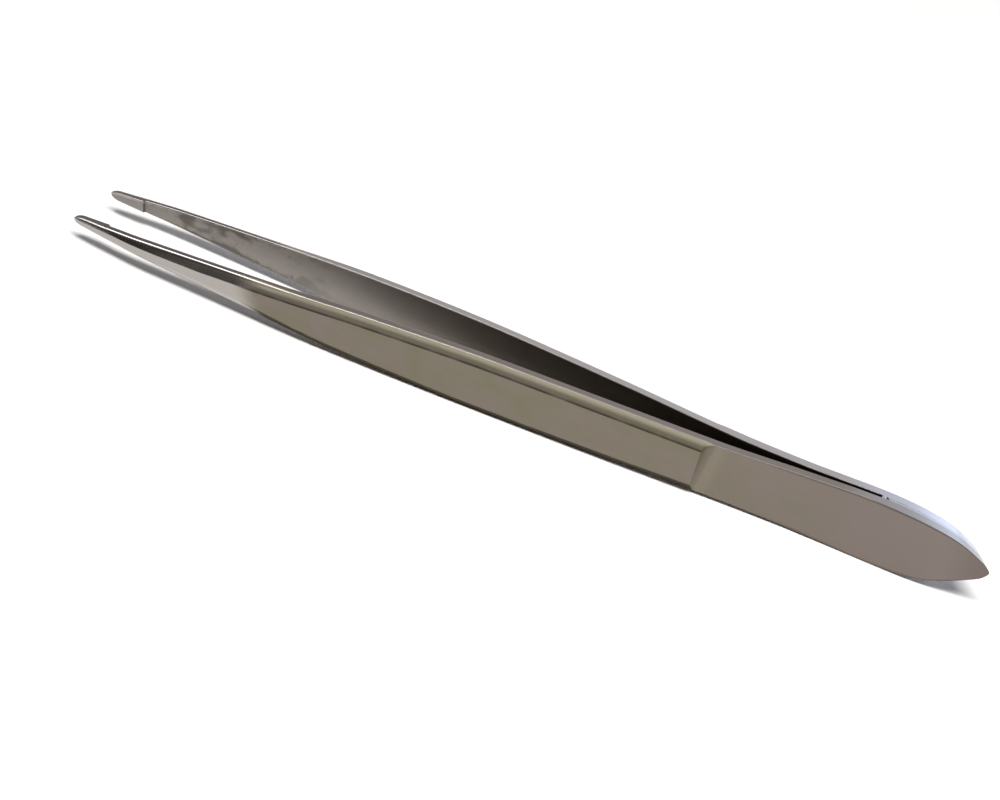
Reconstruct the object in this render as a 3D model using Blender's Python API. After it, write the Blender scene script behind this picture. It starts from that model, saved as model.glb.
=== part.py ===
"""Precision tweezers: two stainless spring legs, welded together at the tail.

The tweezers lie on their narrow edges. +X runs from the welded tail to the
tips, +Y is the left leg and +Z is up. The origin is below the middle of the
length, on the plane that the edges rest on. Sizes are in millimetres.
"""
import math

import bmesh
import bpy
from mathutils import Vector

MM = 0.001

# ---- overall -----------------------------------------------------------
LENGTH = 120.0
TIP_X = LENGTH / 2
TAIL_X = -LENGTH / 2
MID_Z = 4.30               # half the greatest width, near the tail

# ---- leg section -------------------------------------------------------
SPRING_THICKNESS = 1.06    # flat spring behind the shoulder
GRIP_THICKNESS = 1.50      # full section ahead of the shoulder
FRONT_THICKNESS = 1.36     # polished front behind the tips
TIP_THICKNESS = 0.95
EDGE_BREAK = 0.10          # broken corner along every sharp edge
GRIP_LAND = 0.66           # share of the grip's thickness that stays at full width
FRONT_LAND = 0.72          # width of the narrow edge on the front
GRIP_BEVEL = 1.06          # height of the long bevel beside the narrow edge
FRONT_BEVEL = 1.25
BEVEL_LIMIT = 0.66         # largest share of the half width that a bevel takes
BEVEL_BULGE = 0.05         # the bevel is slightly rounded, as a share of its length

# ---- stations along the leg --------------------------------------------
WELD_FRONT_X = -46.6
SPLIT_X = -36.4            # middle of the free spring length
SHOULDER_X = -26.1
SHOULDER_RUN = 1.0         # length of the concave step behind the crease
SHOULDER_SLANT = 0.3       # the crease leans, top toward the tail
SHOULDER_LEAD = 0.4        # the bevels reach their full size this far ahead of it
LEAN_START_X = -31.0       # the leaning dies out at these stations
LEAN_END_X = -23.0
FRONT_START_X = 22.0       # the grip's section turns into the front's from here
FRONT_END_X = 38.0
THIN_START_X = 18.0        # the grip thins to the front between these
THIN_END_X = 44.0
TAPER_START_X = 46.0       # and the front to the tip between these
TAPER_END_X = 59.0
PAD_REAR_X = 54.6
PAD_STEP = 0.26            # the gripping pad stands proud of the inner face

# ---- clearances --------------------------------------------------------
SPLIT_GAP = 0.30
WELD_CLEARANCE = 0.04

# ---- ends --------------------------------------------------------------
TAIL_ROUND = 0.9           # length over which the tail's point is rounded
TIP_ROUND = 1.5            # the same for the tip, across its width
TIP_NOSE = 1.3             # and across its thickness
TAIL_SKEW = 1.9            # the tail is ground out of square, shorter on the right
SKEW_END_X = -45.5

# Distance of the inner face from the middle plane, along the leg.
INNER_FACE = ((-60.0, 0.19), (-46.0, 0.19), (-38.0, 0.34), (-33.0, 0.60),
              (-28.0, 0.91), (-15.0, 1.70), (0.0, 2.47), (15.0, 3.20),
              (30.0, 3.74), (42.0, 3.84), (50.0, 3.82), (54.0, 3.66),
              (60.0, 3.56))

# Half width of the leg: pointed tail, wide tail, waist, grip, long taper.
HALF_WIDTH = ((-60.0, 0.58), (-59.1, 1.14), (-58.0, 1.86), (-56.0, 2.86),
              (-54.8, 3.34), (-53.4, 3.75), (-52.0, 4.01), (-50.0, 4.19),
              (-46.6, 4.30), (-38.0, 3.93), (-28.0, 3.62), (-15.0, 3.78),
              (0.0, 3.86), (15.0, 3.45), (30.0, 2.55), (42.0, 1.76),
              (50.0, 1.22), (55.0, 0.86), (58.0, 0.66), (60.0, 0.52))

# The ground tail runs to a point a little above the middle.
TAIL_RISE = ((-60.0, 0.95), (-59.0, 0.74), (-57.3, 0.68), (-56.0, 0.53),
             (-54.5, 0.26), (-52.5, 0.05), (-50.0, 0.0), (60.0, 0.0))


def clear_scene():
    for item in list(bpy.data.objects):
        bpy.data.objects.remove(item, do_unlink=True)


def spread(start, end, count):
    """Evenly spaced stations from start up to, but not including, end."""
    return [start + (end - start) * i / count for i in range(count)]


def smooth(start, end, value):
    s = min(max((value - start) / (end - start), 0.0), 1.0)
    return s * s * (3.0 - 2.0 * s)


def mix(a, b, share):
    return a + (b - a) * share


def tangents(table):
    """Slopes at a table's points, chosen so that its curve never overshoots."""
    steps = [(b[1] - a[1]) / (b[0] - a[0]) for a, b in zip(table, table[1:])]
    inner = [0.0 if a * b <= 0.0 else 2.0 * a * b / (a + b) for a, b in zip(steps, steps[1:])]
    return [steps[0]] + inner + [steps[-1]]


def curve(table, x):
    """Smooth curve through a table of (x, value) points."""
    x = min(max(x, table[0][0]), table[-1][0])
    i = max(k for k in range(len(table) - 1) if table[k][0] <= x)
    (x0, y0), (x1, y1) = table[i], table[i + 1]
    span = x1 - x0
    s = (x - x0) / span
    slope = tangents(table)
    bend = (s - 1.0) * span * (slope[i] * (s - 1.0) + slope[i + 1] * s) * s
    return mix(y0, y1, s * s * (3.0 - 2.0 * s)) + bend


def round_off(reach):
    """Share left of a size where an end is rounded; reach is 0 at the very end."""
    return max(math.sqrt(1.0 - (1.0 - min(reach, 1.0)) ** 2), 0.2)


def half_width(x):
    ends = round_off((x - TAIL_X) / TAIL_ROUND) * round_off((TIP_X - x) / TIP_ROUND)
    return curve(HALF_WIDTH, x) * ends


def inner_face(x):
    """Distance of the inner face from the middle plane."""
    return curve(INNER_FACE, x) - (PAD_STEP if x > PAD_REAR_X else 0.0)


def pad_rise(x):
    """Thickness that the pad adds; it runs out toward the tip."""
    if x < PAD_REAR_X:
        return 0.0
    return PAD_STEP * mix(1.0, 0.2, smooth(PAD_REAR_X, TIP_X, x))


def thickness(x):
    """Thickness of the leg without its pad."""
    step = smooth(SHOULDER_X - SHOULDER_RUN, SHOULDER_X, x)
    full = mix(SPRING_THICKNESS, GRIP_THICKNESS, step)
    full = mix(full, FRONT_THICKNESS, smooth(THIN_START_X, THIN_END_X, x))
    return mix(full, TIP_THICKNESS, smooth(TAPER_START_X, TAPER_END_X, x))


def section(x):
    """Ring of (outward, up) points around the leg at one station."""
    half = half_width(x)
    pad = pad_rise(x)
    plain = thickness(x)
    thick = plain + pad
    grip = smooth(SHOULDER_X - SHOULDER_RUN / 2, SHOULDER_X + SHOULDER_LEAD, x)
    front = smooth(FRONT_START_X, FRONT_END_X, x)
    nick = min(EDGE_BREAK, 0.25 * half)
    land = mix(plain - nick, GRIP_LAND * plain, grip)
    land = min(mix(land, FRONT_LAND, front), plain - nick) + pad
    drop = mix(nick, mix(GRIP_BEVEL, FRONT_BEVEL, front), grip)
    drop = min(drop, BEVEL_LIMIT * half)
    bulge = BEVEL_BULGE * math.hypot(thick - land, drop) * grip
    top = [(0.0, half - nick), (nick, half), (land, half)]
    for share in (1 / 3, 2 / 3):
        top.append((mix(land, thick, share) + bulge, half - drop * share + 0.5 * bulge))
    top.append((thick, half - drop))
    plump = round_off((TIP_X - x) / TIP_NOSE)
    top = [(mix(0.5 * thick, out, plump), up) for out, up in top]
    return top + [(out, -up) for out, up in reversed(top)]


def skew(x, y):
    """How far forward the out-of-square grinding moves a point of the tail."""
    half_stack = INNER_FACE[0][1] + SPRING_THICKNESS
    share = min(max((half_stack - y) / (2 * half_stack), 0.0), 1.0)
    return TAIL_SKEW * share * (1.0 - smooth(TAIL_X, SKEW_END_X, x))


def leg_ring(x, side):
    """The section in its place; side is +1 for the left leg, -1 for the right."""
    face = inner_face(x)
    middle = MID_Z + curve(TAIL_RISE, x)
    lean = smooth(LEAN_START_X, SHOULDER_X - SHOULDER_RUN, x)
    lean *= 1.0 - smooth(SHOULDER_X + SHOULDER_LEAD, LEAN_END_X, x)
    lean *= SHOULDER_SLANT / half_width(x)
    ring = []
    for out, up in section(x):
        y = side * (face + out)
        ring.append(Vector((x + skew(x, y) - lean * up, y, middle + up)) * MM)
    return ring


def make_material(name, colour, roughness):
    material = bpy.data.materials.new(name)
    material.use_nodes = True
    shader = material.node_tree.nodes["Principled BSDF"]
    shader.inputs["Base Color"].default_value = (*colour, 1.0)
    shader.inputs["Metallic"].default_value = 1.0
    shader.inputs["Roughness"].default_value = roughness
    return material


def loft(name, rings, material, origin=(0.0, 0.0, 0.0)):
    """Closed body bridged through the rings, its own origin where asked."""
    start = Vector(origin) * MM
    body = bmesh.new()
    loops = []
    for ring in rings:
        corners = [body.verts.new(point - start) for point in ring]
        pairs = zip(corners, corners[1:] + corners[:1])
        loops.append([body.edges.new(pair) for pair in pairs])
    for near, far in zip(loops, loops[1:]):
        bmesh.ops.bridge_loops(body, edges=near + far)
    for end in (loops[0], loops[-1]):
        bmesh.ops.contextual_create(body, geom=end)
    bmesh.ops.recalc_face_normals(body, faces=body.faces)
    mesh = bpy.data.meshes.new(name)
    body.to_mesh(mesh)
    body.free()
    mesh.materials.append(material)
    item = bpy.data.objects.new(name, mesh)
    item.location = start
    bpy.context.scene.collection.objects.link(item)


def tail_stations(front):
    """Stations from the tail's point forward, closer where it is rounded."""
    rounded = [TAIL_X + TAIL_ROUND * (i / 5) ** 2 for i in range(5)]
    return rounded + spread(TAIL_X + TAIL_ROUND, WELD_FRONT_X, 14) + spread(WELD_FRONT_X, front, 6)


def arm_stations(rear):
    """Stations from the split to the tip, closer at the shoulder and the pad."""
    stations = spread(rear, SHOULDER_X - SHOULDER_RUN, 5)
    stations += spread(SHOULDER_X - SHOULDER_RUN, SHOULDER_X + SHOULDER_LEAD, 7)
    stations += spread(SHOULDER_X + SHOULDER_LEAD, FRONT_START_X, 13)
    stations += spread(FRONT_START_X, FRONT_END_X, 6)
    stations += spread(FRONT_END_X, PAD_REAR_X - 0.1, 8)
    stations += [PAD_REAR_X - 0.05, PAD_REAR_X + 0.05]
    stations += spread(PAD_REAR_X + 0.1, TIP_X - TIP_ROUND, 3)[1:]
    return stations + [TIP_X - TIP_ROUND * (1 - i / 6) ** 2 for i in range(7)]


def pivot(side):
    """Middle of the spring's thickness, at the middle of its free length."""
    return (SPLIT_X, side * (inner_face(SPLIT_X) + SPRING_THICKNESS / 2), MID_Z)


def leg_tail(name, side, material):
    """Welded end of a leg, up to the middle of the free spring."""
    front = SPLIT_X - SPLIT_GAP / 2
    loft(name, [leg_ring(x, side) for x in tail_stations(front) + [front]], material)


def leg_arm(name, side, material):
    """Free end of a leg, from the middle of the spring to the tip."""
    rear = SPLIT_X + SPLIT_GAP / 2
    loft(name, [leg_ring(x, side) for x in arm_stations(rear)], material, pivot(side))


def weld_seam(name, material):
    """Fused metal between the two tails, ground flush with their edges."""
    out = inner_face(WELD_FRONT_X) - WELD_CLEARANCE
    rings = []
    for x in [s for s in tail_stations(SPLIT_X) if s <= WELD_FRONT_X]:
        half = half_width(x)
        middle = MID_Z + curve(TAIL_RISE, x)
        corners = ((-out, half), (out, half), (out, -half), (-out, -half))
        rings.append([Vector((x + skew(x, y), y, middle + up)) * MM for y, up in corners])
    loft(name, rings, material)


def build():
    clear_scene()
    left = make_material("left_leg_steel", (0.50, 0.48, 0.45), 0.32)
    right = make_material("right_leg_steel", (0.50, 0.48, 0.45), 0.32)
    weld = make_material("weld_steel", (0.55, 0.55, 0.57), 0.28)
    leg_tail("left_leg_tail", 1, left)
    leg_arm("left_leg_arm", 1, left)
    leg_tail("right_leg_tail", -1, right)
    leg_arm("right_leg_arm", -1, right)
    weld_seam("weld_seam", weld)


build()
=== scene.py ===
"""Precision tweezers: finished legs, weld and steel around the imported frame.

Each leg is one continuous strip of steel, lofted from the weld to the tip,
that bends across its spring. Lengths are in millimetres until
mesh_from_rings() scales them, except in the studio, which is in metres. The
frame's +X runs to the tips, +Y to the left leg and +Z up.
"""
import math
from types import SimpleNamespace

import bmesh
import bpy
from mathutils import Matrix, Vector
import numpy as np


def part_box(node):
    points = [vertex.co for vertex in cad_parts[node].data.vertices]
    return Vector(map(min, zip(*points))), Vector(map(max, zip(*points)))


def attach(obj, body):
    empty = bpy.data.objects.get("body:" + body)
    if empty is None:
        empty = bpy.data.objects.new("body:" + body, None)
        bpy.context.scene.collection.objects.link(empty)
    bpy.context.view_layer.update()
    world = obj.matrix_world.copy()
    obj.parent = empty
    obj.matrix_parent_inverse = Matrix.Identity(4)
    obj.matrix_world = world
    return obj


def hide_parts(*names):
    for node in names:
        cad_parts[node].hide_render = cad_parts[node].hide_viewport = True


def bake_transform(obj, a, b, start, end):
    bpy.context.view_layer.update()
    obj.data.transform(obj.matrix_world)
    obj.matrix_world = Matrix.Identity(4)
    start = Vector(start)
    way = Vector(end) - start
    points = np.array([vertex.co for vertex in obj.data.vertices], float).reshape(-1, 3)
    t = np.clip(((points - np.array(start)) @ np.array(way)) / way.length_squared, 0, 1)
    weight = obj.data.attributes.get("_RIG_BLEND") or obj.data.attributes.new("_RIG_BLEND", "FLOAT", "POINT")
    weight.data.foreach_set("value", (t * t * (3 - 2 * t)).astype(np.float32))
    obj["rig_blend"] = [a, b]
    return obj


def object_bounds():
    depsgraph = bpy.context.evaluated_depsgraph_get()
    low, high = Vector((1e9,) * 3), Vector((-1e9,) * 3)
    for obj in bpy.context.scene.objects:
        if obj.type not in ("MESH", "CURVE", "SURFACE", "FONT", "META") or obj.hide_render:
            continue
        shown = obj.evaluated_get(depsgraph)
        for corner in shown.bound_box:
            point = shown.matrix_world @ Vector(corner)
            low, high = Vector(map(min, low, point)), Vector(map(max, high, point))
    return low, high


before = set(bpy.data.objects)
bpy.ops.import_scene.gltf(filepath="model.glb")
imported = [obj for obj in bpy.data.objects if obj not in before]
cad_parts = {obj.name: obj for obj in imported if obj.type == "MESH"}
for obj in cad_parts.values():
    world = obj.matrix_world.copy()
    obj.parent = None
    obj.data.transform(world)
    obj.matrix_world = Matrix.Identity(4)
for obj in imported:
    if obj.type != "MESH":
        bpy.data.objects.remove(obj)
CAD_BOX = [list(corner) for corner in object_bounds()]

MM = 0.001

# ---- sizes read from the frame -----------------------------------------
TAIL_BOX = [[v / MM for v in corner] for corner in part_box("left_leg_tail")]
ARM_BOX = [[v / MM for v in corner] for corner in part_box("left_leg_arm")]
SEAM_BOX = [[v / MM for v in corner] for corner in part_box("weld_seam")]
TAIL_X = TAIL_BOX[0][0]
TIP_X = ARM_BOX[1][0] - 0.002          # a hair inside the frame's box
MID_Z = (TAIL_BOX[0][2] + TAIL_BOX[1][2]) / 2
WELD_FRONT_X = SEAM_BOX[1][0]
SPLIT_X = (TAIL_BOX[1][0] + ARM_BOX[0][0]) / 2

# ---- leg section: the frame's, with each bevel as it was ground ---------
SPRING_THICKNESS = 1.06
GRIP_THICKNESS = 1.50
FRONT_THICKNESS = 1.36
TIP_THICKNESS = 0.95
THIN_X = (18.0, 44.0)      # where the grip thins to the front
TAPER_X = (46.0, 59.0)     # and where the front thins to the tip
GRIP_LAND = 0.66           # share of the thickness at full width
FRONT_LAND = 0.80          # width of the front's flat edge
GRIP_BEVEL = 1.20          # height of the grip's upper bevel
FRONT_BEVEL = 1.25         # and of the front's
LOWER_BEVEL = 0.72         # height of the grip's lower bevel, as a share of the upper
EDGE_NICK = 0.02           # tiny break of the spring's outer corners
BEVEL_LIMIT = 0.66         # largest share of the half width that a bevel takes
BEVEL_SLOPE = 0.46         # least slope of the front's bevel, out over down
BEVEL_BULGE = (0.24, 0.03)             # roundness of the bevel, grip and front
SHOULDER_X = -26.1
SHOULDER_SLANT = 0.3       # the crease leans, top toward the tail
SHOULDER_RUN = (0.40, 1.25)            # length of its ramp, at the bottom and the top
SHOULDER_ZONE = (-31.5, -22.5)         # stretch whose rings follow the leaning ramp
POLISH_X = 33.0            # the ground grip gives way to the polished front
ROUND_START_X = 22.0       # the grip's section turns into the front's
ROUND_END_X = 38.0
PAD_REAR_X = 54.6
PAD_STEP = 0.26
PAD_RAMP = 0.10            # half the length of the step
PAD_ZONE = 0.3             # half the stretch around it that has closer rings
PAD_TIP_SHARE = 0.2        # share of the pad's thickness left at the tip
TAIL_ROUND = 0.9           # length over which the tail's width is rounded off
TIP_ROUND = 1.5            # and the tip's width
TIP_NOSE = 1.3             # and the tip's thickness
TAIL_SKEW = 1.9            # the ground end is out of square, shorter on the right
SKEW_END_X = -45.5
TRIM = 0.006               # the finished strip stays just inside the frame's box

# ---- corner radii -------------------------------------------------------
INNER_ROUND = {1: 0.14, -1: 0.24}      # inner corner of each leg's front, by side
GRIP_ROUND = {1: 0.10, -1: 0.15}       # and of the grip
WELD_ROUND = 0.004                     # and inside the weld
OUTER_ROUND = (0.09, 0.17, 0.46)       # outer corner: spring, grip, front
FACE_ROUND = (0.02, 0.07)              # corner of bevel and outer face: spring, grip

# ---- bead and pit at the front of the weld: height, place, width ---------
BEAD = (0.06, 0.22, 0.16)
PIT = (0.24, 0.62, 0.14)
BEAD_WORN = 20             # how fast the bead brightens with its height
SEAM_TRIM = 0.004          # the bead stays this far below the top of the frame's box
SEAM_ZONE = 2.0            # stretch at the weld's front that has closer rings

SHARP_ANGLE = math.radians(38)

# Distance of the inner face from the middle plane, along the leg.
INNER_FACE = ((-60.0, 0.19), (-46.0, 0.19), (-38.0, 0.34), (-33.0, 0.60),
              (-28.0, 0.91), (-15.0, 1.70), (0.0, 2.47), (15.0, 3.20),
              (30.0, 3.74), (42.0, 3.84), (50.0, 3.82), (54.0, 3.66),
              (60.0, 3.56))

# Half width of the leg: pointed tail, wide tail, waist, grip, long taper.
HALF_WIDTH = ((-60.0, 0.58), (-59.1, 1.14), (-58.0, 1.86), (-56.0, 2.86),
              (-54.8, 3.34), (-53.4, 3.75), (-52.0, 4.01), (-50.0, 4.19),
              (-46.6, 4.30), (-38.0, 3.93), (-28.0, 3.62), (-15.0, 3.78),
              (0.0, 3.86), (15.0, 3.45), (30.0, 2.55), (42.0, 1.76),
              (50.0, 1.22), (55.0, 0.86), (58.0, 0.66), (60.0, 0.52))

# The ground tail runs to a point a little above the middle.
TAIL_RISE = ((-60.0, 0.95), (-59.0, 0.74), (-57.3, 0.68), (-56.0, 0.53),
             (-54.5, 0.26), (-52.5, 0.05), (-50.0, 0.0), (60.0, 0.0))


# ======================= curves along the leg ============================
EASE_REACH = 1.2           # half the stretch that a table's curve is averaged over
EASE_STEPS = 4             # samples on each side of its middle
END_SHARE = 0.10           # share of a size left at the very end of a rounded end


def smooth(start, end, value):
    s = min(max((value - start) / (end - start), 0.0), 1.0)
    return s * s * (3.0 - 2.0 * s)


def mix(a, b, share):
    return a + (b - a) * share


def spread(start, end, count):
    """Evenly spaced stations from start up to, but not including, end."""
    return [start + (end - start) * i / count for i in range(count)]


def tangents(table):
    steps = [(b[1] - a[1]) / (b[0] - a[0]) for a, b in zip(table, table[1:])]
    inner = [0.0 if a * b <= 0.0 else 2.0 * a * b / (a + b) for a, b in zip(steps, steps[1:])]
    return [steps[0]] + inner + [steps[-1]]


def curve(table, x):
    """Smooth curve through a table of (x, value) points."""
    x = min(max(x, table[0][0]), table[-1][0])
    i = max(k for k in range(len(table) - 1) if table[k][0] <= x)
    (x0, y0), (x1, y1) = table[i], table[i + 1]
    span = x1 - x0
    s = (x - x0) / span
    slope = tangents(table)
    bend = (s - 1.0) * span * (slope[i] * (s - 1.0) + slope[i + 1] * s) * s
    return mix(y0, y1, s * s * (3.0 - 2.0 * s)) + bend


def eased(table, x):
    """The curve averaged over a short reach, so that its slope changes evenly."""
    reach = min(EASE_REACH, x - table[0][0], table[-1][0] - x)
    samples = [curve(table, x + reach * i / EASE_STEPS) for i in range(-EASE_STEPS, EASE_STEPS + 1)]
    return sum(samples) / len(samples)


def round_off(reach):
    """Share left of a size where an end is rounded; reach is 0 at the very end."""
    return max(math.sqrt(1.0 - (1.0 - min(reach, 1.0)) ** 2), END_SHARE)


def half_width(x):
    ends = round_off((x - TAIL_X) / TAIL_ROUND) * round_off((TIP_X - x) / TIP_ROUND)
    return (eased(HALF_WIDTH, x) - TRIM) * ends


def pad_share(x):
    """0 behind the pad's step and 1 on the pad."""
    return smooth(PAD_REAR_X - PAD_RAMP, PAD_REAR_X + PAD_RAMP, x)


def pad_rise(x):
    """Thickness that the pad adds."""
    return PAD_STEP * pad_share(x) * mix(1.0, PAD_TIP_SHARE, smooth(PAD_REAR_X, TIP_X, x))


def skew(x, y):
    """How far forward the out-of-square grinding moves a point of the tail."""
    half_stack = INNER_FACE[0][1] + SPRING_THICKNESS
    share = min(max((half_stack - y) / (2 * half_stack), 0.0), 1.0)
    return TAIL_SKEW * share * (1.0 - smooth(TAIL_X, SKEW_END_X, x))


def inner_face(x):
    return curve(INNER_FACE, x) - PAD_STEP * pad_share(x)


def thickness(x, step):
    """Thickness without the pad; step is 0 on the spring and 1 on the grip."""
    full = mix(SPRING_THICKNESS, GRIP_THICKNESS, step)
    full = mix(full, FRONT_THICKNESS, smooth(*THIN_X, x))
    return mix(full, TIP_THICKNESS, smooth(*TAPER_X, x)) - TRIM


# ======================= the leg's section ===============================
CORNER_STEPS = 4
ARC_STEPS = 6
CORNER_SHARE = 0.45        # largest share of a side that a rounded corner takes
FLAT_EDGE = 0.04           # how close to a corner a flat's own points lie
FLAT_SHARE = 0.4           # and the largest share of the flat that this may be
FLAT_ROWS = (-0.6, -0.3, 0.0, 0.3, 0.6)        # other rows on the inner face
WELD_FADE = 1.0            # length over which a leg's edge turns into the ground weld

# Marks that the steel material reads: how strong they are, and where.
LINE_START = 0.62          # share of the bevel where the painted dark line, a painted reflection of the dark room, begins
LINE_ON_BEVEL = 0.7
FACE_BEVEL = 0.25          # bevel mark where the bevel meets the outer face
LOWER_WEAR_AND_SHEEN = 0.2           # the lower edges get less wear and less painted highlight
INNER_WEAR_AND_SHEEN = 0.25          # and the inner ones less behind the grip's middle
INNER_WEAR_AND_SHEEN_X = (-22.0, 10.0)
# Painted shade: a dark line at the pad's step on the inner face.
PAD_LINE = 0.8
PAD_LINE_WIDTH = 0.11
RAMP_LINE = (0.55, 0.3)    # painted shade line in the shoulder's crease at mid height, and its growth upward
INNER_BAND = 0.2           # how far out from the inner face an inner edge reaches
INNER_SKIN = 0.02          # and how far the inner face itself does
FACE_SHARE = 0.9           # share of the thickness beyond which the outer face lies


def rounded(corner, before, after, radius):
    """Points of a rounded corner between its two straight neighbours."""
    a = before - corner
    b = after - corner
    cut_a = min(radius, CORNER_SHARE * a.length)
    cut_b = min(radius, CORNER_SHARE * b.length)
    start = corner + a.normalized() * cut_a
    end = corner + b.normalized() * cut_b
    points = []
    for i in range(CORNER_STEPS + 1):
        s = i / CORNER_STEPS
        points.append(start * (1 - s) ** 2 + corner * 2 * s * (1 - s) + end * s ** 2)
    return points


def half_section(half, thick, land, drop, bulge, radii):
    """Points (out, up, marks) from the inner edge to the middle of the outer face."""
    inner_radius, outer_radius, face_radius = radii
    inner_top = Vector((0.0, half))
    land_end = Vector((land, half))
    face_top = Vector((thick, half - drop))
    inner_corner = rounded(inner_top, Vector((0.0, 0.0)), land_end, inner_radius)
    land_corner = rounded(land_end, inner_top, face_top, outer_radius)
    face_corner = rounded(face_top, land_end, Vector((thick, 0.0)), face_radius)
    points = []

    def add(places, worn=0.0, line=0.0, bevel=0.0):
        middle = (len(places) - 1) / 2
        for i, place in enumerate(places):
            share = 1.0 - abs(i - middle) / (middle + 1.0)
            marks = {"worn": worn * share, "line": line, "bevel": bevel}
            points.append((place.x, place.y, marks))

    def flat(start, end, **marks):
        """Points beside both ends of a flat, which keep its shading flat."""
        reach = min(FLAT_EDGE / max((end - start).length, FLAT_EDGE), FLAT_SHARE)
        add([start.lerp(end, share) for share in (reach, 0.5, 1.0 - reach)], **marks)

    # The rounded corners are marked for wear and a painted highlight.
    add(inner_corner, worn=1.0)
    flat(inner_corner[-1], land_corner[0])
    add(land_corner, worn=1.0, bevel=1.0)
    start, end = land_corner[-1], face_corner[0]
    run = end - start
    normal = Vector((-run.y, run.x)).normalized()
    # The bevel's lower part and its corner with the face carry a painted dark line, a painted reflection of
    # the dark room.
    for i in range(1, ARC_STEPS):
        share = i / ARC_STEPS
        place = start + run * share + normal * bulge * run.length * share * (1.0 - share)
        add([place], bevel=mix(1.0, FACE_BEVEL, share),
            line=LINE_ON_BEVEL * smooth(LINE_START, 1.0, share))
    add([face_corner[0]], line=1.0, bevel=FACE_BEVEL)
    add(face_corner[1:], line=1.0)
    flat(face_corner[-1], Vector((thick, 0.0)))
    return points


def outline(x, step, side, welded):
    """Ring of (out, up, marks) around the leg, and the ring's size (half, full)."""
    half = half_width(x)
    pad = pad_rise(x)
    thick = thickness(x, step)
    full = thick + pad
    front = smooth(ROUND_START_X, ROUND_END_X, x)
    land = mix(thick - EDGE_NICK, GRIP_LAND * thick, step)
    land = min(mix(land, FRONT_LAND, front), thick - EDGE_NICK) + pad
    drop = mix(EDGE_NICK, mix(GRIP_BEVEL, FRONT_BEVEL, front), step)
    drop = min(drop, BEVEL_LIMIT * half)
    land = mix(land, min(land, full - BEVEL_SLOPE * drop), front)
    spring_round, grip_round, front_round = OUTER_ROUND
    radii = (mix(mix(GRIP_ROUND[side], INNER_ROUND[side], front), WELD_ROUND, welded),
             mix(spring_round, mix(grip_round, front_round, front), step),
             mix(*FACE_ROUND, step))
    bulge = mix(*BEVEL_BULGE, front)
    upper = half_section(half, full, land, drop, bulge, radii)
    share = mix(1.0, mix(LOWER_BEVEL, 1.0, front), step)
    lower = half_section(half, full, land, drop * share, bulge, radii)
    lower = [(out, -up, marks | {"bevel": -marks["bevel"], "worn": LOWER_WEAR_AND_SHEEN * marks["worn"]})
             for out, up, marks in reversed(lower)]
    plain = {"worn": 0.0, "line": 0.0, "bevel": 0.0}
    edge = half - radii[0]
    rows = [-edge + FLAT_EDGE] + [row * edge for row in FLAT_ROWS] + [edge - FLAT_EDGE]
    inner = [(0.0, up, plain) for up in rows]
    return upper + [(full, 0.0, plain)] + lower + inner, (half, full)


def section(x, step, side, ramp=0.0):
    """The leg's outline at x, narrowed at the tip's nose, with every mark."""
    welded = smooth(WELD_FRONT_X + WELD_FADE, WELD_FRONT_X, x)
    points, (half, full) = outline(x, step, side, welded)
    plump = round_off((TIP_X - x) / TIP_NOSE)
    step_line = math.exp(-((x - PAD_REAR_X) / PAD_LINE_WIDTH) ** 2)
    dull_edge = mix(INNER_WEAR_AND_SHEEN, 1.0, smooth(*INNER_WEAR_AND_SHEEN_X, x))
    outer_face = FACE_SHARE * thickness(x, step)
    ring = []
    for out, up, marks in points:
        level = up / half
        inward = out < INNER_SKIN and abs(up) < half
        extra = {"inner": float(inward), "height": level, "welded": welded}
        # Painted shade lines: at the pad's step on the inner face, and in the shoulder's crease on the outer
        # face.
        if inward:
            extra["line"] = PAD_LINE * step_line
        elif out > outer_face:
            extra["line"] = max(marks["line"] * step, ramp * (RAMP_LINE[0] + RAMP_LINE[1] * level))
        if out < INNER_BAND:
            extra["worn"] = marks["worn"] * dull_edge
        ring.append((mix(0.5 * full, out, plump), up, marks | extra))
    return ring


RAMP_EASE = 0.15           # how much of the ramp's rounding lies beyond its ends
RAMP_FAINT = 0.15          # strength of the shoulder's painted shade line at the foot of the ramp

# How many rings each stretch has, from the tail to the tip.
TAIL_RINGS = 10
WELD_RINGS = 30
SPRING_RINGS = 26
BEHIND_RINGS = 8
RAMP_RINGS = 12
AHEAD_RINGS = 16
GRIP_RINGS = 44
FRONT_RINGS = 48
PAD_STEP_RINGS = 12
PAD_RINGS = 14
TIP_RINGS = 14
AHEAD_CROWDING = 1.6       # above 1, the rings crowd toward the crease


def shoulder_places(kind, share, level):
    """Where a shoulder station lies at a height from -1, bottom, to 1, top."""
    crease = SHOULDER_X - SHOULDER_SLANT * level
    foot = crease - mix(*SHOULDER_RUN, (level + 1.0) / 2)
    if kind == "behind":
        return mix(SHOULDER_ZONE[0], foot, share)
    if kind == "ramp":
        return mix(foot, crease, share)
    return mix(crease, SHOULDER_ZONE[1], share)


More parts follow.
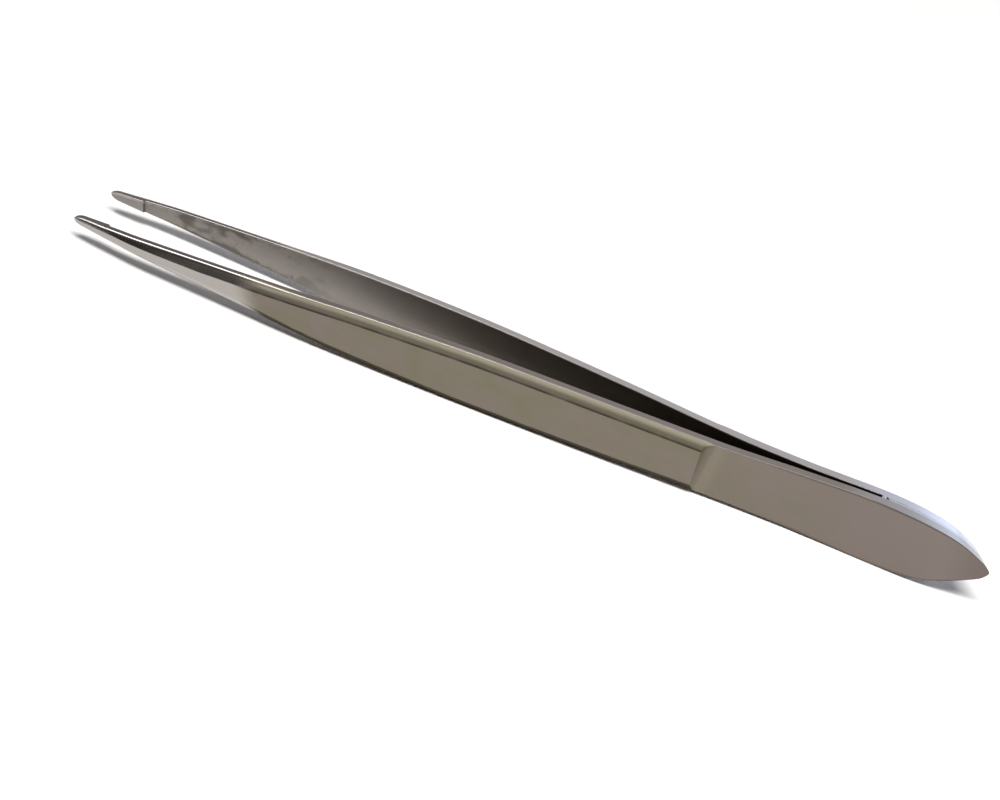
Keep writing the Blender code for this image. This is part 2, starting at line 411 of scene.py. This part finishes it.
def stations():
    """(kind, share, x) of every ring from the tail's point to the tip."""
    rear = [TAIL_X + TAIL_ROUND * share ** 2 for share in spread(0.0, 1.0, TAIL_RINGS)]
    rear += spread(TAIL_X + TAIL_ROUND, WELD_FRONT_X, WELD_RINGS)
    rear += spread(WELD_FRONT_X, SHOULDER_ZONE[0], SPRING_RINGS)
    around_pad = (PAD_REAR_X - PAD_ZONE, PAD_REAR_X + PAD_ZONE)
    front = spread(SHOULDER_ZONE[1], ROUND_START_X, GRIP_RINGS)
    front += spread(ROUND_START_X, around_pad[0], FRONT_RINGS)
    front += spread(*around_pad, PAD_STEP_RINGS)
    front += spread(around_pad[1], TIP_X - TIP_ROUND, PAD_RINGS)
    front += [TIP_X - TIP_ROUND * (1 - share) ** 2 for share in spread(0.0, 1.0, TIP_RINGS)]
    front += [TIP_X]
    result = [("plain", 0.0, x) for x in rear]
    result += [("behind", share, 0.0) for share in spread(0.0, 1.0, BEHIND_RINGS)]
    result += [("ramp", share, 0.0) for share in spread(0.0, 1.0, RAMP_RINGS)]
    result += [("ahead", share ** AHEAD_CROWDING, 0.0) for share in spread(0.0, 1.0, AHEAD_RINGS)]
    return result + [("plain", 0.0, x) for x in front]


def ring_at(kind, share, x, side):
    """One ring: its points in the frame, and what each point's surface is."""
    if kind == "plain":
        step = 0.0 if x < SHOULDER_X else 1.0
        shape = section(x, step, side)
        places = [x] * len(shape)
    else:
        step = {"behind": 0.0, "ahead": 1.0}.get(kind)
        ramp = 0.0
        if kind == "ramp":
            step = smooth(-RAMP_EASE, 1.0 + RAMP_EASE, share)
            ramp = mix(RAMP_FAINT, 1.0, share ** 2)
        x = shoulder_places(kind, share, 0.0)
        shape = section(x, step, side, ramp)
        places = [shoulder_places(kind, share, marks["height"]) for out, up, marks in shape]
    rise = eased(TAIL_RISE, x)
    ring = []
    for (out, up, marks), along in zip(shape, places):
        y = side * (inner_face(along) + out)
        ring.append((Vector((along + skew(along, y), y, MID_Z + rise + up)), marks))
    return ring


# ======================= mesh making =====================================
MARKS = ("worn", "line", "bevel", "inner", "height", "welded")


def mesh_from_rings(name, rings):
    """Closed mesh through the rings, with rest places and marks as attributes."""
    data = bmesh.new()
    rest = data.verts.layers.float_vector.new("rest")
    for mark in MARKS:
        data.verts.layers.float.new(mark)
    layers = {mark: data.verts.layers.float[mark] for mark in MARKS}
    grid = []
    for ring in rings:
        row = []
        for point, marks in ring:
            vert = data.verts.new(point * MM)
            vert[rest] = point
            for mark, layer in layers.items():
                vert[layer] = marks.get(mark, 0.0)
            row.append(vert)
        grid.append(row)
    for near, far in zip(grid, grid[1:]):
        for i in range(len(near)):
            j = (i + 1) % len(near)
            data.faces.new((near[i], near[j], far[j], far[i]))
    for end in (grid[0], grid[-1]):
        middle = sum((v.co for v in end), Vector()) / len(end)
        hub = data.verts.new(middle)
        hub[rest] = middle / MM
        for i in range(len(end)):
            data.faces.new((end[i], end[(i + 1) % len(end)], hub))
    bmesh.ops.recalc_face_normals(data, faces=data.faces)
    mesh = bpy.data.meshes.new(name)
    data.to_mesh(mesh)
    data.free()
    mesh.shade_smooth()
    mesh.set_sharp_from_angle(angle=SHARP_ANGLE)
    piece = bpy.data.objects.new(name, mesh)
    bpy.context.scene.collection.objects.link(piece)
    return piece


def make_leg(name, side):
    rings = [ring_at(kind, share, x, side) for kind, share, x in stations()]
    return mesh_from_rings(name, rings)


SEAM_TAIL_RINGS = 8
SEAM_RINGS = 30            # and the same again close to its front
SEAM_ACROSS = (-1.0, -0.8, -0.4, 0.0, 0.4, 0.8, 1.0)


def make_seam():
    """Fused metal between the tails, with a small bead and a pit at its front."""
    def bump(height, place, width):
        """Height of a round bump at the present distance back from the front."""
        return height * math.exp(-((back - place) / width) ** 2)

    out = inner_face(WELD_FRONT_X)
    top = CAD_BOX[1][2] / MM - SEAM_TRIM
    rings = []
    places = [TAIL_X + TAIL_ROUND * share ** 2 for share in spread(0.0, 1.0, SEAM_TAIL_RINGS)]
    places += spread(TAIL_X + TAIL_ROUND, WELD_FRONT_X - SEAM_ZONE, SEAM_RINGS)
    places += spread(WELD_FRONT_X - SEAM_ZONE, WELD_FRONT_X, SEAM_RINGS)
    places += [WELD_FRONT_X]
    for x in places:
        half = half_width(x)
        middle = MID_Z + eased(TAIL_RISE, x)
        back = WELD_FRONT_X - x
        bead = bump(*BEAD)
        pit = bump(*PIT)
        marks = {"welded": 1.0, "height": 1.0, "worn": min(1.0, bead * BEAD_WORN)}
        ring = []
        for share in SEAM_ACROSS:
            y = share * out
            up = half + (bead - pit) * (1.0 - share ** 2)
            up = min(up, top - middle)
            ring.append((Vector((x + skew(x, y), y, middle + up)), marks))
        for share in reversed(SEAM_ACROSS):
            y = share * out
            ring.append((Vector((x + skew(x, y), y, middle - half)), marks | {"worn": 0.0}))
        rings.append(ring)
    return mesh_from_rings("weld_seam_finished", rings)


# ======================= steel ===========================================
class Nodes:
    """Small helper that adds and links shader nodes."""

    def __init__(self, owner):
        self.tree = owner.node_tree

    def add(self, kind, settings=None, **inputs):
        node = self.tree.nodes.new(kind)
        for key, value in (settings or {}).items():
            setattr(node, key, value)
        for key, value in inputs.items():
            self.put(node, key.replace("_", " "), value)
        return node

    def put(self, node, key, value):
        socket = node.inputs[int(key)] if key.isdigit() else node.inputs[key]
        if isinstance(value, bpy.types.NodeSocket):
            self.tree.links.new(value, socket)
        else:
            socket.default_value = value

    def math(self, operation, a, b=0.0):
        node = self.tree.nodes.new("ShaderNodeMath")
        node.operation = operation
        self.put(node, "0", a)
        self.put(node, "1", b)
        return node.outputs[0]

    def attribute(self, name, output="Fac"):
        node = self.add("ShaderNodeAttribute", {"attribute_name": name})
        return node.outputs[output]

    def noise(self, vector, stretch, scale, detail, roughness):
        stretched = self.add("ShaderNodeVectorMath", {"operation": "MULTIPLY"})
        self.put(stretched, "0", vector)
        self.put(stretched, "1", stretch)
        node = self.add("ShaderNodeTexNoise", Scale=scale, Detail=detail, Roughness=roughness)
        self.put(node, "Vector", stretched.outputs[0])
        return node.outputs["Fac"]

    def step(self, value, low, high, to_low=0.0, to_high=1.0):
        """Smooth change from to_low at low to to_high at high; low may be the greater."""
        node = self.add("ShaderNodeMapRange", {"interpolation_type": "SMOOTHSTEP"})
        for key, number in (("Value", value), ("From Min", min(low, high)),
                            ("From Max", max(low, high)),
                            ("To Min", to_low if low < high else to_high),
                            ("To Max", to_high if low < high else to_low)):
            self.put(node, key, number)
        return node.outputs[0]

    def blend(self, share, a, b):
        node = self.add("ShaderNodeMix", {"data_type": "RGBA"})
        self.put(node, "0", share)
        self.put(node, "6", a)
        self.put(node, "7", b)
        return node.outputs[2]


# Colours of the outer faces.
SATIN = (0.198, 0.176, 0.140, 1.0)
SATIN_OLIVE = (0.182, 0.172, 0.122, 1.0)
SATIN_MAUVE = (0.212, 0.178, 0.160, 1.0)
SATIN_TAIL = (0.206, 0.172, 0.163, 1.0)
TAIL_POINT = (0.155, 0.124, 0.120, 1.0)
SATIN_PATCH = (0.222, 0.198, 0.160, 1.0)
# painted highlight on the satin's upper bevel
SATIN_BEVEL_SHEEN = (0.86, 0.84, 0.66, 1.0)
# painted shade on the satin's lower bevel, a dark reflection of the table under the leg
SATIN_UNDER_SHADE = (0.046, 0.037, 0.029, 1.0)
POLISHED = (0.375, 0.355, 0.338, 1.0)

# Colours of the narrow edges and of their corners. The right leg's narrow edges and ground ends are painted
# lighter, and bluer, than the left's: painted light and a painted reflection of the window.
EDGE_LEFT_SHADED = (0.34, 0.305, 0.285, 1.0)
EDGE_RIGHT_LIT = (0.60, 0.585, 0.60, 1.0)
GROUND_LEFT_SHADED = (0.44, 0.425, 0.445, 1.0)
GROUND_SEAM_LIT = (0.58, 0.58, 0.64, 1.0)
GROUND_RIGHT_LIT = (0.66, 0.68, 0.78, 1.0)
# Rounded corners: partly wear, partly a painted highlight.
EDGE_WEAR_AND_SHEEN = (0.92, 0.88, 0.77, 1.0)
POLISHED_EDGE_SHEEN = (0.64, 0.60, 0.60, 1.0)

# Colours of the inner faces, of the painted shade and of the stains.
INNER_STEEL = (0.265, 0.243, 0.228, 1.0)
PAD_STEEL = (0.31, 0.295, 0.285, 1.0)
INNER_PAINTED_SHADE = (0.18, 0.158, 0.132, 1.0)
PAINTED_SHADE_LINE = (0.045, 0.038, 0.028, 1.0)
STAIN = (0.07, 0.064, 0.045, 1.0)

# Tint of what the steel reflects seen almost edge on; the lower bevel's is darker and browner, a painted
# shade.
EDGE_ON = (1.0, 1.0, 1.0, 1.0)
EDGE_ON_UNDER_SHADE = (0.70, 0.66, 0.61, 1.0)

# Where the steel changes along the leg: from one X to another. Two more numbers
# say how much of the change there is at each, if it isn't none and all.
POLISH_FADE = 2.2                      # half the length of the change to the polish
POLISH_RAGGED = 2.0                    # how far the noise moves its border
TAIL_TONE = (-24.0, -50.0, 0.0, 0.8)
POINT_TONE = (-54.5, -59.5, 0.0, 0.7)
PATCH_REAR = (-29.0, -27.5)            # lighter patch just behind the shoulder
PATCH_FRONT = (-26.8, -27.1)
PATCH_LEAN = 0.72                      # how far the patch leans with the height
SHEEN_ALONG = (-30.0, 30.0, 0.80, 1.0)      # the painted highlights on the edges and the upper bevel brighten toward the front
GROUND_WELD = (-41.0, -47.0)
INNER_SHADE = (28.0, -4.0)
SHADE_RAGGED = 3.0                     # how much more the noise moves this border
PAD_TONE = (54.5, 54.8)
# Painted shade along the tail's rims over this stretch.
RIM_SHADE_ALONG = (-30.0, -40.0)
STAINED_REAR = (20.0, 40.0)
STAINED_FRONT = (54.4, 53.2)
TIP_DULLED = (50.0, 59.0)

# Where it changes across the leg, by a mark or by the face's direction.
BEVEL_SOFTENS = (0.0, 1.0, 1.0, 0.5)   # the polish starts less abruptly on the bevel
UPPER_BEVEL = (0.53, 1.02)
UNDER_BEVEL = (0.0, -0.22)
NARROW_EDGE = (0.75, 0.45)             # sideways part of the normal
OUTER_FACE = (0.80, 0.95)
RIM_SHADE_ACROSS = (0.91, 0.985, 0.0, 0.6)    # share of the half width; painted shade along the tail's rims
STAINED_TOP = (0.35, 0.95, 0.0, 0.11)
STAINED_BOTTOM = (-0.45, -0.95, 0.0, 0.17)

# Noises on the steel: stretch along X, Y and Z, then scale, detail, roughness.
BROAD = ((1.0, 1.0, 1.6), 0.16, 4.0, 0.5)
PATCHY = ((0.8, 1.0, 1.2), 0.45, 3.0, 0.5)
BRUSHED = ((0.10, 3.0, 6.0), 1.6, 3.0, 0.6)
GRAINY = ((0.6, 4.0, 4.0), 3.0, 2.0, 0.6)
SMUDGED = ((0.55, 1.0, 1.0), 0.42, 3.0, 0.55)
SPECKLED = ((0.8, 1.0, 1.2), 1.2, 3.0, 0.6)

# What the noises do, in the same form.
OLIVE_TO_MAUVE = (0.38, 0.62)          # by BROAD
PLAIN_PATCHES = (0.35, 0.70)           # by PATCHY
BROKEN_LINE = (0.3, 0.6, 0.6, 0.95)    # by PATCHY
BROKEN_EDGE = (0.25, 0.6, 0.55, 0.95)  # by GRAINY
SMUDGES = (0.50, 0.68, 0.0, 0.55)
SPECKS = (0.58, 0.80, 0.0, 0.6)

# Roughness and relief.
SATIN_ROUGH = 0.42
POLISHED_ROUGH = 0.12
GROUND_SMOOTHER = 0.12
STAIN_ROUGHER = 0.25
TIP_ROUGHER = 0.16
BRUSHED_ROUGHER = (0.3, 0.7, -0.02, 0.04)
WORN_ROUGHER = (0.0, 1.0, -0.08, 0.04)           # by the polish
RELIEF = (0.10, 0.00004)               # strength and height in metres of the bump
BRUSHED_RELIEF = 0.5                   # share of each in the bump
GRAINY_RELIEF = 0.3
STAIN_RELIEF = 0.8


def steel_masks(n):
    """Places, marks, noises and zones that colour and roughness share."""
    m = SimpleNamespace(rest=n.attribute("rest", "Vector"))
    for mark in MARKS:
        setattr(m, mark, n.attribute(mark))
    split = n.add("ShaderNodeSeparateXYZ")
    n.put(split, "Vector", m.rest)
    m.along = split.outputs["X"]
    geometry = n.add("ShaderNodeNewGeometry")
    facing = n.add("ShaderNodeSeparateXYZ")
    n.put(facing, "Vector", geometry.outputs["Normal"])
    m.sideways = n.math("ABSOLUTE", facing.outputs["Y"])

    m.patch = n.noise(m.rest, *PATCHY)
    m.lines = n.noise(m.rest, *BRUSHED)
    m.grain = n.noise(m.rest, *GRAINY)
    m.ragged = n.math("MULTIPLY", n.math("SUBTRACT", m.patch, 0.5), POLISH_RAGGED)

    border = n.math("ADD", n.math("SUBTRACT", m.along, m.height), m.ragged)
    softer = n.step(m.bevel, *BEVEL_SOFTENS)
    border = n.math("MULTIPLY", n.math("SUBTRACT", border, POLISH_X), softer)
    outward = n.math("SUBTRACT", 1.0, m.inner)
    m.polish = n.math("MULTIPLY", n.step(border, -POLISH_FADE, POLISH_FADE), outward)
    m.satin = n.math("SUBTRACT", 1.0, m.polish)

    # Painted shade on the lower bevel of the satin.
    m.under = n.math("MULTIPLY", n.step(m.bevel, *UNDER_BEVEL), m.satin)
    m.rubbed = n.step(m.along, *SHEEN_ALONG)
    m.narrow = n.step(m.sideways, *NARROW_EDGE)
    m.ground = n.math("MULTIPLY", m.narrow, n.step(m.along, *GROUND_WELD))
    # Edges lighter from wear and a painted highlight, fading into the weld.
    worn = n.math("MULTIPLY", m.worn, n.math("SUBTRACT", m.rubbed, m.welded))
    m.worn_edge = n.math("MULTIPLY", n.math("MAXIMUM", worn, 0.0), n.step(m.grain, *BROKEN_EDGE))
    return m


def outer_colour(n, m):
    """Mottled satin with a painted highlight on the upper bevel and painted shade on the lower bevel;
    polished front.
    """
    mottle = n.step(n.noise(m.rest, *BROAD), *OLIVE_TO_MAUVE)
    colour = n.blend(mottle, SATIN_OLIVE, SATIN_MAUVE)
    colour = n.blend(n.step(m.patch, *PLAIN_PATCHES), SATIN, colour)
    colour = n.blend(n.step(m.along, *TAIL_TONE), colour, SATIN_TAIL)
    colour = n.blend(n.step(m.along, *POINT_TONE), colour, TAIL_POINT)
    lean = n.math("ADD", m.along, n.math("MULTIPLY", m.height, PATCH_LEAN))
    behind_step = n.math("MULTIPLY", n.step(lean, *PATCH_REAR), n.step(lean, *PATCH_FRONT))
    colour = n.blend(behind_step, colour, SATIN_PATCH)
    # Painted highlight on the upper bevel, fading down the bevel and toward the shoulder.
    upper = n.math("MULTIPLY", n.step(m.bevel, *UPPER_BEVEL), n.math("MULTIPLY", m.satin, m.rubbed))
    colour = n.blend(upper, colour, SATIN_BEVEL_SHEEN)
    colour = n.blend(m.under, colour, SATIN_UNDER_SHADE)
    return n.blend(m.polish, colour, POLISHED)


def inner_colour(n, m):
    """Darker toward the spring, a painted shade where the legs close in; lighter on the pad."""
    place = n.math("ADD", m.along, n.math("MULTIPLY", m.ragged, SHADE_RAGGED))
    colour = n.blend(n.step(place, *INNER_SHADE), INNER_STEEL, INNER_PAINTED_SHADE)
    return n.blend(n.step(m.along, *PAD_TONE), colour, PAD_STEEL)


def painted_shade_lines(n, m):
    """Painted shade: dark lines under the bevels, in the shoulder's crease, at the pad's step and along the
    tail's rims.
    """
    rim = n.step(n.math("ABSOLUTE", m.height), *RIM_SHADE_ACROSS)
    place = n.math("MULTIPLY", n.step(m.sideways, *OUTER_FACE), n.step(m.along, *RIM_SHADE_ALONG))
    line = n.math("MAXIMUM", m.line, n.math("MULTIPLY", rim, place))
    line = n.math("MULTIPLY", line, m.satin)
    return n.math("MULTIPLY", line, n.step(m.patch, *BROKEN_LINE))


def inner_stains(n, m, strength):
    """Smudges and specks near the tip, denser toward the rims."""
    smudge = n.noise(m.rest, *SMUDGED)
    speck = n.noise(m.rest, *SPECKLED)
    rim = n.math("ADD", n.step(m.height, *STAINED_TOP), n.step(m.height, *STAINED_BOTTOM))
    smudges = n.step(n.math("ADD", smudge, rim), *SMUDGES)
    specks = n.step(n.math("ADD", speck, rim), *SPECKS)
    near_tip = n.math("MULTIPLY", n.step(m.along, *STAINED_REAR), n.step(m.along, *STAINED_FRONT))
    stained = n.math("MULTIPLY", n.math("MAXIMUM", smudges, specks), near_tip)
    return n.math("MULTIPLY", n.math("MULTIPLY", stained, m.inner), strength)


def steel_roughness(n, m, stained):
    """Polished front smoother than the satin; stains and the used tip rougher."""
    rough = n.step(m.polish, 0.0, 1.0, SATIN_ROUGH, POLISHED_ROUGH)
    rough = n.math("SUBTRACT", rough, n.math("MULTIPLY", m.ground, GROUND_SMOOTHER))
    rough = n.math("ADD", rough, n.step(m.lines, *BRUSHED_ROUGHER))
    rough = n.math("ADD", rough, n.math("MULTIPLY", stained, STAIN_ROUGHER))
    worn = n.math("MULTIPLY", m.worn_edge, n.step(m.polish, *WORN_ROUGHER))
    rough = n.math("ADD", rough, worn)
    return n.math("ADD", rough, n.step(m.along, *TIP_DULLED, 0.0, TIP_ROUGHER))


def steel(name, stains, edge_colour, ground_colour):
    """Satin strip steel: ground grip, polished front, stained inner face."""
    material = bpy.data.materials.new(name)
    material.use_nodes = True
    n = Nodes(material)
    m = steel_masks(n)
    stained = inner_stains(n, m, stains)

    colour = outer_colour(n, m)
    # Narrow edges and ground ends in each leg's colours, painted lighter on the right leg.
    colour = n.blend(n.math("MULTIPLY", m.narrow, m.satin), colour, edge_colour)
    colour = n.blend(m.ground, colour, ground_colour)
    colour = n.blend(m.inner, colour, inner_colour(n, m))
    # Rounded corners lighter from wear and a painted highlight.
    colour = n.blend(m.worn_edge, colour, n.blend(m.polish, EDGE_WEAR_AND_SHEEN, POLISHED_EDGE_SHEEN))
    colour = n.blend(painted_shade_lines(n, m), colour, PAINTED_SHADE_LINE)
    colour = n.blend(stained, colour, STAIN)

    relief = n.math("ADD", n.math("MULTIPLY", m.lines, BRUSHED_RELIEF),
                    n.math("MULTIPLY", m.grain, GRAINY_RELIEF))
    relief = n.math("SUBTRACT", relief, n.math("MULTIPLY", stained, STAIN_RELIEF))
    strength, distance = RELIEF
    bump = n.add("ShaderNodeBump", Strength=strength, Distance=distance)
    n.put(bump, "Height", relief)

    shader = material.node_tree.nodes["Principled BSDF"]
    n.put(shader, "Base Color", colour)
    # The lower bevel's reflections are tinted darker and browner: painted shade.
    n.put(shader, "Specular Tint", n.blend(m.under, EDGE_ON, EDGE_ON_UNDER_SHADE))
    n.put(shader, "Roughness", steel_roughness(n, m, stained))
    n.put(shader, "Normal", bump.outputs["Normal"])
    shader.inputs["Metallic"].default_value = 1.0
    return material


# ======================= the object ======================================
BEND_REACH = 7.5           # the spring bends this far either side of the split
LEFT_STAINS = 0.8          # strength of the stains on each leg's inner face
RIGHT_STAINS = 1.0


def build_object():
    for name, side, body, stains, edge, ground in (
            ("left_leg_finished", 1, "left_arm", LEFT_STAINS, EDGE_LEFT_SHADED, GROUND_LEFT_SHADED),
            ("right_leg_finished", -1, "right_arm", RIGHT_STAINS, EDGE_RIGHT_LIT, GROUND_RIGHT_LIT)):
        leg = make_leg(name, side)
        word = name.split("_")[0]
        leg.data.materials.append(steel(word + "_leg_satin_steel", stains, edge, ground))
        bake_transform(leg, "tail", body, start=((SPLIT_X - BEND_REACH) * MM, 0, 0),
                 end=((SPLIT_X + BEND_REACH) * MM, 0, 0))
        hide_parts(word + "_leg_tail", word + "_leg_arm")
    seam = make_seam()
    seam.data.materials.append(steel("ground_weld_steel", 0.0, EDGE_LEFT_SHADED, GROUND_SEAM_LIT))
    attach(seam, "tail")
    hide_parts("weld_seam")


# ======================= studio, in metres ===============================
REST_SLOPE = 0.0093        # the edges touch the table at the tail and the grip
FLOOR_RADIUS = 0.45
FLOOR_GAP = 0.00002        # between the object's box and the table
FLOOR_WHITE = (0.86, 0.855, 0.845)
FLOOR_ROUGH = 0.9


def plain_material(name, colour, roughness):
    material = bpy.data.materials.new(name)
    material.use_nodes = True
    shader = material.node_tree.nodes["Principled BSDF"]
    shader.inputs["Base Color"].default_value = (*colour, 1.0)
    shader.inputs["Roughness"].default_value = roughness
    shader.inputs["Specular IOR Level"].default_value = 0.0
    return material


def add_floor():
    data = bmesh.new()
    bmesh.ops.create_circle(data, cap_ends=True, segments=96, radius=FLOOR_RADIUS)
    mesh = bpy.data.meshes.new("floor")
    data.to_mesh(mesh)
    data.free()
    mesh.materials.append(plain_material("white_table", FLOOR_WHITE, FLOOR_ROUGH))
    floor = bpy.data.objects.new("floor", mesh)
    floor.location = (WELD_FRONT_X * MM, 0.0, CAD_BOX[0][2] - FLOOR_GAP)
    floor.rotation_euler = (0.0, -math.atan(REST_SLOPE), 0.0)
    bpy.context.scene.collection.objects.link(floor)


def add_area(name, place, target, size, power, colour):
    """Area light with its long side along X, kept out of reflections."""
    light = bpy.data.lights.new(name, "AREA")
    light.shape = "RECTANGLE"
    light.size, light.size_y = size
    light.energy = power
    light.color = colour
    item = bpy.data.objects.new(name, light)
    outward = (Vector(place) - Vector(target)).normalized()
    across = Vector((0, 1, 0)).cross(outward).normalized()
    axes = Matrix((across, outward.cross(across), outward)).transposed().to_4x4()
    item.matrix_world = Matrix.Translation(place) @ axes
    item.visible_glossy = False
    bpy.context.scene.collection.objects.link(item)


# The room that the steel reflects. Each pair says where a lobe starts and where
# it is full: a part of the direction, or the cosine of the angle to WINDOW or WALL.
# Two more numbers are its strengths there, if they aren't 0 and 1.
WINDOW = (-0.5, -0.77, 0.42)           # behind the tail and beyond the right leg
SKIRT = (0.40, 0.92, 0.055, 0.50)      # wide glow around the window
GLARE = (0.80, 1.0, 0.0, 1.5)          # and its bright middle
FAR_Y = (-0.40, -0.62)                 # pale room beyond the right leg
FAR_START_X = (-0.05, 0.25)
FAR_END_X = (0.25, 0.75, 0.42, 0.16)
STRIP_SIDE = (0.24, 0.12)              # ceiling strip along X, over the tips
STRIP_START_X = (-0.05, 0.50)
STRIP_END_X = (0.85, 0.70)
STRIP_Z = (0.2, 0.5, 0.0, 3.2)
GLOW_NEAR_Y = (0.62, 0.05)             # weak glow around the strip
GLOW_FAR_Y = (-0.25, -0.05)
GLOW_X = (-0.15, 0.20, 0.0, 0.30)
WALL = (-0.1, 0.95, 0.3)               # soft wall on the camera's side
WALL_EDGE = (0.74, 0.96, 0.0, 0.48)
FILL_EDGE = (0.2, 0.95, 0.012, 0.32)   # the window's light on the floor

SKIRT_COLOUR = (1.0, 0.96, 0.93, 1.0)
FAR_COLOUR = (1.0, 0.94, 0.96, 1.0)
GLARE_COLOUR = (0.72, 0.86, 1.0, 1.0)
STRIP_COLOUR = (1.0, 0.96, 0.95, 1.0)
GLOW_COLOUR = (1.0, 0.92, 0.84, 1.0)
WALL_COLOUR = (1.0, 0.93, 0.83, 1.0)
FILL_COLOUR = (0.90, 0.88, 1.0, 1.0)
SEEN_COLOUR = (1.0, 0.99, 0.975, 1.0)  # plain background in the picture


def add_world():
    """Dim room: window behind the tail, ceiling strip over the tips, soft wall."""
    world = bpy.data.worlds.new("studio")
    bpy.context.scene.world = world
    world.use_nodes = True
    world.node_tree.nodes.clear()
    n = Nodes(world)
    sky = n.add("ShaderNodeTexCoord").outputs["Generated"]
    split = n.add("ShaderNodeSeparateXYZ")
    n.put(split, "Vector", sky)
    sky_x, sky_y, sky_z = (split.outputs[axis] for axis in "XYZ")

    def toward(direction):
        node = n.add("ShaderNodeVectorMath", {"operation": "DOT_PRODUCT"})
        n.put(node, "0", sky)
        n.put(node, "1", Vector(direction).normalized())
        return node.outputs["Value"]

    def all_of(*shares):
        product = shares[0]
        for share in shares[1:]:
            product = n.math("MULTIPLY", product, share)
        return product

    window = toward(WINDOW)
    far = all_of(n.step(sky_y, *FAR_Y), n.step(sky_x, *FAR_START_X), n.step(sky_x, *FAR_END_X))
    strip = all_of(n.step(n.math("ABSOLUTE", sky_y), *STRIP_SIDE), n.step(sky_x, *STRIP_START_X),
                   n.step(sky_x, *STRIP_END_X), n.step(sky_z, *STRIP_Z))
    glow = all_of(n.step(sky_y, *GLOW_NEAR_Y), n.step(sky_y, *GLOW_FAR_Y), n.step(sky_x, *GLOW_X))
    light = None
    for strength, colour in (
            (n.step(window, *SKIRT), SKIRT_COLOUR), (far, FAR_COLOUR),
            (n.step(window, *GLARE), GLARE_COLOUR), (strip, STRIP_COLOUR),
            (glow, GLOW_COLOUR), (n.step(toward(WALL), *WALL_EDGE), WALL_COLOUR)):
        room = n.add("ShaderNodeBackground", Color=colour)
        n.put(room, "Strength", strength)
        if light is None:
            light = room.outputs[0]
        else:
            both = n.add("ShaderNodeAddShader")
            n.put(both, "0", light)
            n.put(both, "1", room.outputs[0])
            light = both.outputs[0]
    path = n.add("ShaderNodeLightPath").outputs
    fill = n.add("ShaderNodeBackground", Color=FILL_COLOUR)
    n.put(fill, "Strength", n.step(window, *FILL_EDGE))
    seen = n.add("ShaderNodeBackground", Color=SEEN_COLOUR)
    for ray, shown in (("Is Diffuse Ray", fill), ("Is Camera Ray", seen)):
        either = n.add("ShaderNodeMixShader")
        n.put(either, "0", path[ray])
        n.put(either, "1", light)
        n.put(either, "2", shown.outputs[0])
        light = either.outputs[0]
    output = n.add("ShaderNodeOutputWorld")
    n.put(output, "Surface", light)


CAMERA_AZIMUTH = math.radians(-22.99)  # from +Y, toward +X
CAMERA_ELEVATION = math.radians(37.8)
CAMERA_ROLL = math.radians(8.04)
CAMERA_DISTANCE = 0.2134
CAMERA_LENS = 64.8                     # in millimetres, on a sensor 36 mm wide
AIM_HEIGHT = 0.004                     # above the table
AIM_SHIFT = (-0.00028, -0.00294)       # to the picture's right and up


def add_camera():
    """Camera above the left leg, a little behind the middle."""
    outward = Vector((math.sin(CAMERA_AZIMUTH) * math.cos(CAMERA_ELEVATION),
                      math.cos(CAMERA_AZIMUTH) * math.cos(CAMERA_ELEVATION),
                      math.sin(CAMERA_ELEVATION)))
    right = (-outward).cross(Vector((0, 0, 1))).normalized()
    up = right.cross(-outward)
    cos_roll, sin_roll = math.cos(CAMERA_ROLL), math.sin(CAMERA_ROLL)
    turned_right = right * cos_roll + up * sin_roll
    turned_up = up * cos_roll - right * sin_roll
    shift_right, shift_up = AIM_SHIFT
    aim = Vector((0.0, 0.0, AIM_HEIGHT)) + turned_right * shift_right + turned_up * shift_up
    data = bpy.data.cameras.new("camera")
    data.sensor_width = 36.0
    data.lens = CAMERA_LENS
    data.clip_start = 0.01
    camera = bpy.data.objects.new("camera", data)
    axes = Matrix((turned_right, turned_up, outward)).transposed().to_4x4()
    camera.matrix_world = Matrix.Translation(aim + outward * CAMERA_DISTANCE) @ axes
    bpy.context.scene.collection.objects.link(camera)
    bpy.context.scene.camera = camera


KEY_PLACE = (-0.139, 0.174, 0.579)     # above and on the camera's side
KEY_SIZE = (0.44, 0.13)                # along X and across it
KEY_POWER = 5.5                        # in watts
KEY_COLOUR = (1.0, 0.985, 0.96)


def build_studio():
    add_floor()
    add_world()
    add_camera()
    add_area("key", KEY_PLACE, (0, 0, 0), KEY_SIZE, KEY_POWER, KEY_COLOUR)
    scene = bpy.context.scene
    scene.view_settings.view_transform = "Standard"
    scene.view_settings.look = "None"


build_object()
build_studio()
